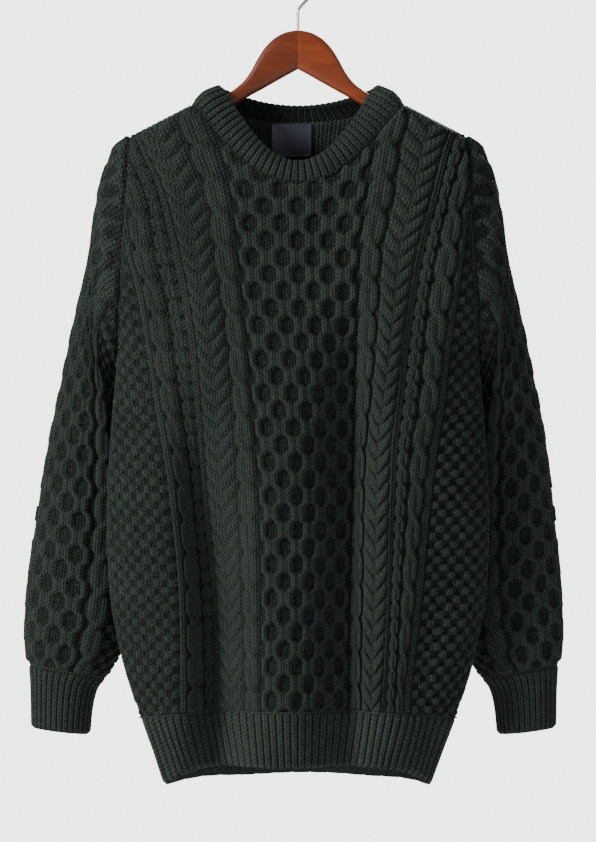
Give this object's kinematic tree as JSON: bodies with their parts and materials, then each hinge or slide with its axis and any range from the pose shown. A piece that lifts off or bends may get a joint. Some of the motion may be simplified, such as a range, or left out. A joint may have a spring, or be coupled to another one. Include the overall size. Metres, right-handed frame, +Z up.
{
  "type": "crewneck sweater on a wooden hanger",
  "caption": "Cable-knit crewneck sweater with long sleeves, hanging on a wooden hanger with a wire hook.",
  "frame": {"origin": "under the crown of the hanger's hook, at the middle of the wire, where a rail carries it", "axes": "+Z up, the garment's front looks along -Y, +X to the right in the front view"},
  "size_m": [0.561, 0.1487, 0.8477],
  "materials": {
    "wool": "heathered dark green wool, cable knit",
    "wool_rib": "heathered dark green wool, ribbed",
    "label": "woven satin label, bare",
    "wood": "satin varnish",
    "hook_wire": "polished"
  },
  "bodies": {
    "root": {"front": "wool", "back": "wool", "sleeve_left": "wool", "sleeve_right": "wool", "collar": "wool_rib", "hem_front": "wool_rib", "hem_back": "wool_rib", "cuff_left": "wool_rib", "cuff_right": "wool_rib", "neck_label": "label", "hanger_arm_left": "wood", "hanger_arm_right": "wood", "hanger_hook": "hook_wire"}
  },
  "joints": []
}
